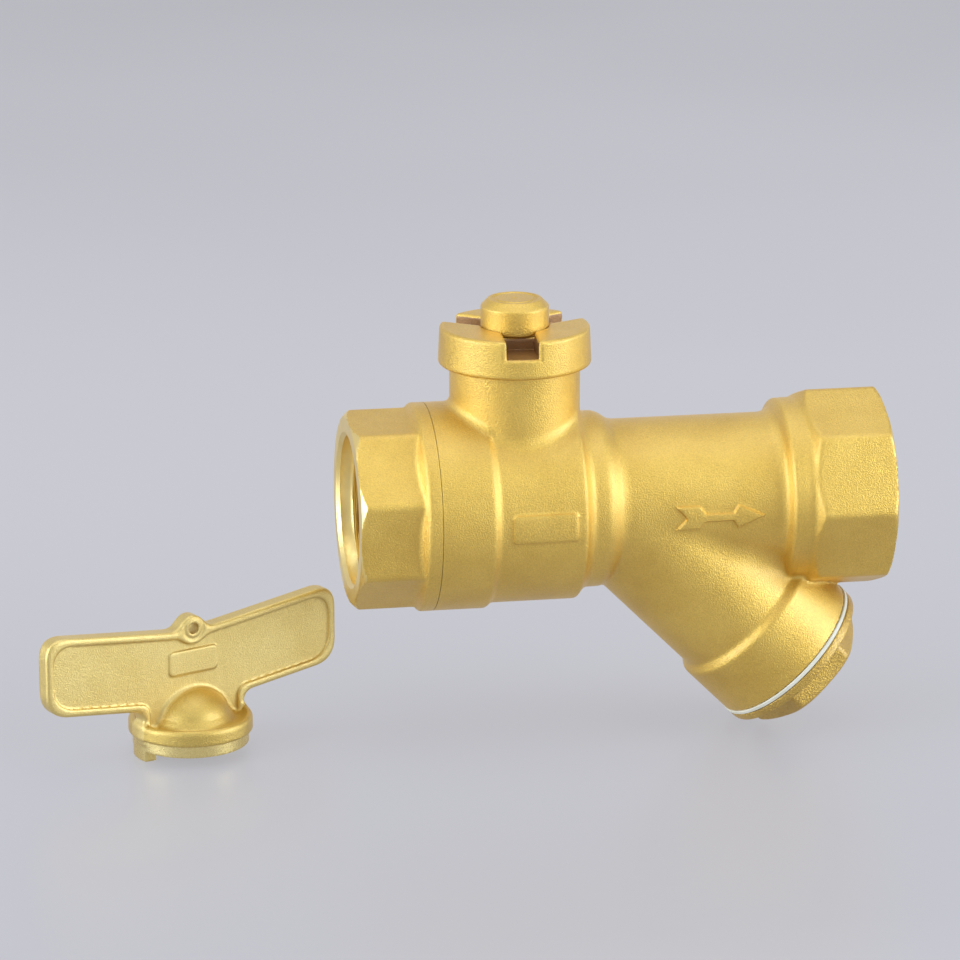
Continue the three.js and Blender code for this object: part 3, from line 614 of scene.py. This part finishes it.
def plug_field(p):
    x, y, z = p[..., 0], p[..., 1], p[..., 2]
    radius = np.hypot(x, y)
    flange = blend_max(radius - PLUG_FLANGE_RADIUS, np.abs(z - 53.25) - 1.05, 0.5)
    hexagon = None
    for k in range(3):
        angle = HEX_TURN + math.radians(30 + 60 * k)
        flat = np.abs(x * math.sin(angle) - y * math.cos(angle)) - HEX_HALF_FLATS
        hexagon = flat if hexagon is None else blend_max(hexagon, flat, 0.8)
    hexagon = blend_max(hexagon, np.maximum(z - PLUG_END, 53.0 - z), 0.6)
    hexagon = blend_max(hexagon, (z - PLUG_END + 0.6 * (radius - 13.4)) / 1.166, 0.6)
    body = blend_min(flange, hexagon, 0.7)
    core = np.maximum(radius - 13.0, np.abs(z - 49.5) - 4)
    return np.minimum(body, core)


def make_plug():
    points, quads = surface_net(plug_field, (-19, -19, 44.8), (19, 19, 60.8), STEP["plug"])
    plug = new_object("plug_forging", points, quads, branch_place())
    thread = dict(PLUG_THREAD, start=41.3, end=51.0, depth=0.75)
    spigot = [(12.6, 41.0), (13.25, 41.6), (13.25, 51.0), (13.0, 52.8)]
    combine(plug, turned_solid("spigot", spigot, branch_place(), thread=thread), "UNION")
    combine(plug, turned_solid("recess", [(11.7, 40), (11.7, 49.3)], branch_place()), "DIFFERENCE")
    centres, _ = face_places(plug, branch_place())
    mark_faces(plug, np.abs(plug_field(centres)) > CUT_DEPTH)
    put(plug, "plug", ["strainer_plug"], "plug_brass", ROUGH, TURNED)

    outline = [(14.3, 51.25), (18.2, 51.25), (18.4, 51.4), (18.4, 52.0), (18.2, 52.15), (14.3, 52.15)]
    gasket = turned_ring("flat_gasket", outline, branch_place())
    put(gasket, "strainer", ["plug_gasket"], "gasket", GASKET)


def make_screen():
    """A sheet with staggered round holes, rolled into a cylinder. Each cell is a square round one hole."""
    columns = 57
    rows = 36
    outer = 11.4
    start = 2.3
    end = 49.0
    sheet_thickness = 0.4
    pitch = (end - start) / rows
    hole = 0.34               # radius, as a share of a cell
    cell = [(-1, -1), (0, -1), (1, -1), (1, 0), (1, 1), (0, 1), (-1, 1), (-1, 0)]
    points, faces, known = [], [], {}

    def point(u, v):
        key = (round(u * 1000) % (columns * 1000), round(v * 1000))
        if key not in known:
            known[key] = len(points)
            turn = 2 * math.pi * u / columns
            points.append((outer * math.sin(turn), -outer * math.cos(turn), start + v * pitch))
        return known[key]

    for row in range(rows):
        for column in range(columns):
            u, v = column + 0.5 * (row % 2), row + 0.5
            rim = [point(u + 0.5 * a, v + 0.5 * b) for a, b in cell]
            ring = [math.atan2(b, a) for a, b in cell]
            edge = [point(u + hole * math.cos(a), v + hole * math.sin(a)) for a in ring]
            for k in range(8):
                faces.append((rim[k], rim[(k + 1) % 8], edge[(k + 1) % 8], edge[k]))
    screen = new_object("perforated_screen", points, faces, branch_place())
    modifier = screen.modifiers.new("sheet", "SOLIDIFY")
    modifier.thickness = sheet_thickness * MM
    modifier.offset = -1
    graph = bpy.context.evaluated_depsgraph_get()
    sheet = bpy.data.meshes.new_from_object(screen.evaluated_get(graph))
    screen.modifiers.clear()
    screen.data = sheet
    put(screen, "strainer", ["strainer_screen"], "steel", STEEL)


# ---------------------------------------------------------------- key

BOSS_HEIGHT = 28.0
BOSS_RADIUS = 2.8
EYE_RADIUS = 1.2
WING_SPAN = 36.3          # half the width over both wing tips
WING_RISE = 0.127         # slope of the wings' edges
WING_TOP = 27.2
WING_BOTTOM = 9.7
HALF_PLATE = 2.02         # half of the plate's thickness, at its rim and in the sunk panel
HALF_PANEL = 1.25
RIM_WIDTH = 1.7
HUB_RADIUS = 13.47
HUB_TOP = 8.6
MOAT_RADIUS = 10.6
DOME_RADIUS = 8.2
DOME_CENTRE = 6.4
SKIRT_RADIUS = 12.59
SKIRT_BOTTOM = 2.27
SKIRT_TOP = 4.92
LUG_ANGLES = (53, 173)
LUG_HALF_WIDTH = 3.1
LUG_INNER_RADIUS = 9.6


def wing_outline(u, z):
    """The plate's outline seen from the front: two wings that rise to their tips, over a short neck."""
    side = np.sqrt(u * u + 9)
    top = (z - WING_TOP - WING_RISE * side) / 1.008
    bottom = (WING_BOTTOM + WING_RISE * side - z) / 1.008
    wings = blend_max(blend_max(top, bottom, 4.6), np.abs(u) - WING_SPAN, 5.2)
    neck = np.maximum(np.abs(u) - 12.7, np.maximum(4 - z, z - 16))
    boss = np.hypot(u, z - BOSS_HEIGHT) - BOSS_RADIUS
    return blend_min(blend_min(wings, neck, 2.6), boss, 3.2)


def key_field(p):
    u, t, z = p[..., 0], p[..., 1], p[..., 2]
    radius = np.hypot(u, t)
    outline = wing_outline(u, z)
    plate = blend_max(outline, np.abs(t) - HALF_PLATE, 0.9)
    eye = np.hypot(u, z - BOSS_HEIGHT)
    panel = np.maximum(cut(outline + RIM_WIDTH, eye - 3.6, 1.5), HALF_PANEL - np.abs(t))
    plate = cut(plate, panel, 0.5)
    pad = blend_max(box_2d(u, z - 20.6, 6.0, 2.7, 1.0), np.abs(t) - 1.7, 0.3)
    plate = blend_min(plate, pad, 0.3)
    plate = cut(plate, np.maximum(np.abs(eye - 2.3) - 0.28, 1.85 - np.abs(t)), 0.3)

    wall = blend_max(radius - HUB_RADIUS, z - HUB_TOP, 1.5)
    wall = blend_max(wall, SKIRT_TOP - z, 0.5)
    moat = np.hypot(radius - MOAT_RADIUS, (z - 9.2) * 0.9) - 1.75
    wall = cut(wall, moat, 0.7)
    skirt = np.maximum(radius - SKIRT_RADIUS, np.maximum(SKIRT_BOTTOM - z, z - 6))
    hub = np.minimum(wall, skirt)
    dome = np.sqrt((radius / 1.1) ** 2 + (z - DOME_CENTRE) ** 2) - DOME_RADIUS
    hub = blend_min(hub, np.maximum(dome, 3 - z), 0.6)
    for angle in LUG_ANGLES:
        c, s = math.cos(math.radians(angle)), math.sin(math.radians(angle))
        lug = np.maximum(np.abs(t * c - u * s) - LUG_HALF_WIDTH, LUG_INNER_RADIUS - u * c - t * s)
        lug = np.maximum(np.maximum(lug, radius - SKIRT_RADIUS), np.maximum(-z, z - 4))
        hub = np.minimum(hub, lug)
    key = blend_min(plate, hub, 0.9)
    key = cut(key, eye - EYE_RADIUS, 0.3)
    recess = np.minimum(np.maximum(radius - 7.7, z - 7.2), np.maximum(radius - 6.6, z - 9.5))
    pocket = np.maximum(radius - 4.8, z - 12.3)
    return cut(key, np.minimum(recess, pocket), 0.3)


def make_key():
    points, quads = surface_net(key_field, (-37.4, -14.4, -1), (37.4, 14.4, 33.6), STEP["key"])
    key = new_object("key_casting", points, quads, key_place())
    centres, normals = face_places(key, key_place())
    u, t, z = centres.T
    # Slot 1 is the turned skirt. Slot 2 is painted shade: the hub and dome get a darker copy of the key's
    # brass, standing in for the shade on them.
    finish_and_shade = np.where((np.abs(t) > 2.6) & (z > 4.8), 2, 0)
    finish_and_shade[(z < 4.8) & (np.abs(normals[:, 2]) < 0.5) & (np.hypot(u, t) > 12.3)] = 1
    mark_faces(key, finish_and_shade)
    put(key, "key", ["key_body"], "key_brass", KEY, KEY_TURNED, KEY_HUB_PAINTED_SHADE)


# ---------------------------------------------------------------- materials

def shader(name, color, roughness, metallic):
    """A principled material, and short names for adding its nodes."""
    material = bpy.data.materials.new(name)
    material.use_nodes = True
    nodes = material.node_tree.nodes
    bsdf = nodes["Principled BSDF"]
    bsdf.inputs["Base Color"].default_value = (*color, 1)
    bsdf.inputs["Roughness"].default_value = roughness
    bsdf.inputs["Metallic"].default_value = metallic
    return material, nodes, material.node_tree.links, bsdf


def noise(nodes, links, per_metre, detail=2.0, rough=0.5):
    """Noise in the object's own coordinates."""
    coordinates = nodes.new("ShaderNodeTexCoord")
    texture = nodes.new("ShaderNodeTexNoise")
    texture.inputs["Scale"].default_value = per_metre
    texture.inputs["Detail"].default_value = detail
    texture.inputs["Roughness"].default_value = rough
    links.new(coordinates.outputs["Object"], texture.inputs["Vector"])
    return texture.outputs["Fac"]


def ramp(nodes, links, value, low, high, color_low, color_high):
    """Colours a value between low and high."""
    node = nodes.new("ShaderNodeValToRGB")
    node.color_ramp.elements[0].position = low
    node.color_ramp.elements[0].color = (*color_low, 1)
    node.color_ramp.elements[1].position = high
    node.color_ramp.elements[1].color = (*color_high, 1)
    links.new(value, node.inputs["Fac"])
    return node.outputs["Color"]


def spread(nodes, links, value, low, high):
    """Maps a noise value to a range."""
    node = nodes.new("ShaderNodeMapRange")
    node.inputs["From Min"].default_value = 0.3
    node.inputs["From Max"].default_value = 0.7
    node.inputs["To Min"].default_value = low
    node.inputs["To Max"].default_value = high
    links.new(value, node.inputs["Value"])
    return node.outputs["Result"]


def bump(nodes, links, bsdf, value, height, below=None):
    """Adds relief of that height in metres, over an earlier bump if there is one."""
    node = nodes.new("ShaderNodeBump")
    node.inputs["Distance"].default_value = height
    links.new(value, node.inputs["Height"])
    if below:
        links.new(below, node.inputs["Normal"])
    links.new(node.outputs["Normal"], bsdf.inputs["Normal"])
    return node.outputs["Normal"]


def blasted_brass(name, dark, light, roughness, grain_height, grain_scale):
    """Forged or cast brass, sand-blasted to a fine matt grain that also varies its colour a little."""
    material, nodes, links, bsdf = shader(name, light, roughness, 1.0)
    cloud = ramp(nodes, links, noise(nodes, links, 90, 4), 0.3, 0.7, dark, light)
    grain = noise(nodes, links, grain_scale, 2, 0.6)
    speck = ramp(nodes, links, grain, 0.3, 0.7, (0.8, 0.78, 0.72), (1, 1, 1))
    tint = nodes.new("ShaderNodeMix")
    tint.data_type = "RGBA"
    tint.blend_type = "MULTIPLY"
    tint.inputs["Factor"].default_value = 1
    links.new(cloud, tint.inputs["A"])
    links.new(speck, tint.inputs["B"])
    links.new(tint.outputs["Result"], bsdf.inputs["Base Color"])
    links.new(spread(nodes, links, noise(nodes, links, 1400, 2), roughness - 0.06, roughness + 0.08),
              bsdf.inputs["Roughness"])
    bsdf.inputs["Specular Tint"].default_value = (1.0, 0.86, 0.62, 1)
    bsdf.inputs["Coat Weight"].default_value = 1.0
    bsdf.inputs["Coat Roughness"].default_value = 0.42
    waves = bump(nodes, links, bsdf, noise(nodes, links, 420, 2), 0.00005)
    bump(nodes, links, bsdf, noise(nodes, links, grain_scale, 3, 0.6), grain_height, waves)
    return material


def turned_metal(name, dark, light, roughness):
    """Bright machined metal with fine tool marks."""
    material, nodes, links, bsdf = shader(name, light, roughness, 1.0)
    cloud = ramp(nodes, links, noise(nodes, links, 160, 3), 0.3, 0.7, dark, light)
    links.new(cloud, bsdf.inputs["Base Color"])
    links.new(spread(nodes, links, noise(nodes, links, 900, 3), roughness - 0.06, roughness + 0.08),
              bsdf.inputs["Roughness"])
    bump(nodes, links, bsdf, noise(nodes, links, 2600, 2), 0.00002)
    return material


def soft_plastic(name, dark, light, roughness, scale):
    """PTFE, fibre gasket or rubber, with a faintly mottled surface."""
    material, nodes, links, bsdf = shader(name, light, roughness, 0.0)
    cloud = ramp(nodes, links, noise(nodes, links, scale / 4, 3), 0.3, 0.7, dark, light)
    links.new(cloud, bsdf.inputs["Base Color"])
    links.new(spread(nodes, links, noise(nodes, links, scale, 2), roughness - 0.05, roughness + 0.05),
              bsdf.inputs["Roughness"])
    bump(nodes, links, bsdf, noise(nodes, links, scale * 2, 3), 0.00003)
    return material


FORGED = blasted_brass("forged_brass", (0.80, 0.525, 0.085), (0.92, 0.635, 0.125), 0.42, 0.00018, 3300)
ROUGH = blasted_brass("rough_forged_brass", (0.60, 0.38, 0.07), (0.82, 0.56, 0.11), 0.44, 0.0003, 2300)
KEY = blasted_brass("key_brass", (0.82, 0.62, 0.19), (0.90, 0.71, 0.25), 0.42, 0.0001, 4000)
KEY_TURNED = blasted_brass("key_skirt_brass", (0.86, 0.68, 0.24), (0.94, 0.77, 0.31), 0.3, 0.00004, 3600)
# Painted shade: the key's cast brass, made darker and more orange for the hub and dome.
KEY_HUB_PAINTED_SHADE = blasted_brass("key_hub_painted_shade_brass", (0.70, 0.49, 0.10), (0.80, 0.59, 0.145), 0.4, 0.00014, 3500)
# Painted shade: a dark reddish brass that stands in for the shade inside the cap's slots.
SLOT_PAINTED_SHADE = blasted_brass("slot_painted_shade_brass", (0.30, 0.145, 0.045), (0.42, 0.23, 0.075), 0.5, 0.0002, 2600)
TURNED = turned_metal("turned_brass", (0.86, 0.65, 0.24), (0.93, 0.74, 0.31), 0.36)
CHROME = turned_metal("ball_chrome", (0.62, 0.63, 0.65), (0.72, 0.73, 0.75), 0.1)
STEEL = turned_metal("stainless_steel", (0.40, 0.41, 0.42), (0.52, 0.53, 0.54), 0.32)
MAGNET = turned_metal("magnet_nickel", (0.30, 0.30, 0.31), (0.38, 0.38, 0.39), 0.25)
PTFE = soft_plastic("white_ptfe", (0.80, 0.79, 0.74), (0.88, 0.87, 0.83), 0.45, 600)
GASKET = soft_plastic("gasket_fibre", (0.74, 0.73, 0.58), (0.84, 0.83, 0.70), 0.5, 900)
RUBBER = soft_plastic("black_rubber", (0.015, 0.015, 0.016), (0.03, 0.03, 0.032), 0.6, 800)

INNER_FINISHES = {
    "connector_o_ring": RUBBER, "stem_o_ring_lower": RUBBER, "stem_o_ring_upper": RUBBER,
    "thrust_washer": PTFE, "packing_ring": PTFE, "gland_nut": TURNED, "stem": TURNED,
    "cap_screw": STEEL, "lock_pin": STEEL, "lock_spring": STEEL,
    "screen_top_ring": STEEL, "screen_end_ring": STEEL, "key_magnet": MAGNET, "magnet_cover": STEEL,
}


def finish_inner_nodes():
    for name, material in INNER_FINISHES.items():
        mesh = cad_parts[name].data
        mesh.materials.clear()
        mesh.materials.append(material)


# ---------------------------------------------------------------- camera, lights and floor

def make_camera():
    """A long lens, seen from the left front and a little above."""
    camera = bpy.data.objects.new("camera", bpy.data.cameras.new("camera"))
    bpy.context.scene.collection.objects.link(camera)
    camera.location = (-0.152, -1.0181, 0.3012)
    camera.rotation_euler = (math.radians(90 - 15.97), 0, math.radians(-10.08))
    camera.data.lens = 187.5
    camera.data.sensor_width = 36
    camera.data.clip_start = 0.05
    bpy.context.scene.camera = camera


def make_floor():
    """A pale sheet, flat under the object and curved up behind it, whose glow varies from front to back."""
    material, nodes, links, bsdf = shader("backdrop", (0.12, 0.12, 0.13), 0.35, 0.0)
    bsdf.inputs["Specular IOR Level"].default_value = 0.2
    place = nodes.new("ShaderNodeSeparateXYZ")
    coordinates = nodes.new("ShaderNodeTexCoord")
    links.new(coordinates.outputs["Object"], place.inputs["Vector"])
    reach = nodes.new("ShaderNodeMapRange")
    reach.inputs["From Min"].default_value = -1.0
    reach.inputs["From Max"].default_value = 1.5
    links.new(place.outputs["Y"], reach.inputs["Value"])
    glow = nodes.new("ShaderNodeValToRGB")
    stops = glow.color_ramp.elements
    stops[0].position, stops[0].color = 0.08, (0.34, 0.34, 0.36, 1)
    stops[1].position, stops[1].color = 1.0, (0.6, 0.6, 0.636, 1)
    levels = ((0.2, 0.44), (0.305, 0.44), (0.352, 0.38), (0.52, 0.385), (0.768, 0.28), (0.88, 0.6))
    for position, level in levels:
        stops.new(position).color = (level, level, level * 1.06, 1)
    links.new(reach.outputs["Result"], glow.inputs["Fac"])
    links.new(glow.outputs["Color"], bsdf.inputs["Emission Color"])
    bsdf.inputs["Emission Strength"].default_value = 1.0
    links.new(spread(nodes, links, noise(nodes, links, 3, 2), 0.32, 0.4), bsdf.inputs["Roughness"])
    bend = 0.5
    depth = 1.2
    height = 2.0
    profile = [(-2.5, 0), (depth, 0)]
    angles = np.linspace(0.1, math.pi / 2, 16)
    profile += [(depth + bend * math.sin(a), bend - bend * math.cos(a)) for a in angles]
    profile.append((depth + bend, height))
    points = [(x, y, z + FLOOR_Z * MM) for y, z in profile for x in (-3, 3)]
    faces = [(2 * k, 2 * k + 1, 2 * k + 3, 2 * k + 2) for k in range(len(profile) - 1)]
    floor = new_object("floor", np.array(points) / MM, faces)
    floor.data.materials.append(material)
    smooth(floor, 60)


def area_light(name, place, target, size, power, color=(1, 1, 1)):
    data = bpy.data.lights.new(name, "AREA")
    data.shape = "RECTANGLE"
    data.size, data.size_y = size
    data.energy = power
    data.color = color
    light = bpy.data.objects.new(name, data)
    light.location = place
    light.visible_camera = False
    light.rotation_euler = (Vector(target) - Vector(place)).to_track_quat("-Z", "Y").to_euler()
    bpy.context.scene.collection.objects.link(light)


def make_lights():
    """Two side boxes, a weaker one above and an even light all round."""
    centre = (0.03, 0, 0)
    area_light("left_box", (-1.0, -0.25, 0.22), centre, (0.7, 0.8), 9.8, (0.86, 0.95, 1.1))
    area_light("right_box", (1.05, -0.45, 0.25), centre, (0.7, 0.8), 9.2, (0.86, 0.95, 1.1))
    area_light("top_box", (0.05, -0.05, 1.2), centre, (1.2, 1.1), 5.5, (0.92, 0.96, 1.0))
    world = bpy.data.worlds.new("studio")
    world.use_nodes = True
    world.node_tree.nodes["Background"].inputs["Color"].default_value = (0.9, 0.92, 1.0, 1)
    world.node_tree.nodes["Background"].inputs["Strength"].default_value = 0.62
    bpy.context.scene.world = world
    bpy.context.scene.view_settings.view_transform = "Standard"


FINE = {"body": 0.5, "connector": 0.42, "ball": 0.5, "cap": 0.25, "knob": 0.22, "plug": 0.32, "key": 0.28}
STEP = {name: step * 1.0 for name, step in FINE.items()}

make_camera()
make_floor()
make_lights()
make_body()
make_connector()
make_ball_and_seats()
make_cap_and_knob()
make_plug()
make_screen()
make_key()
finish_inner_nodes()
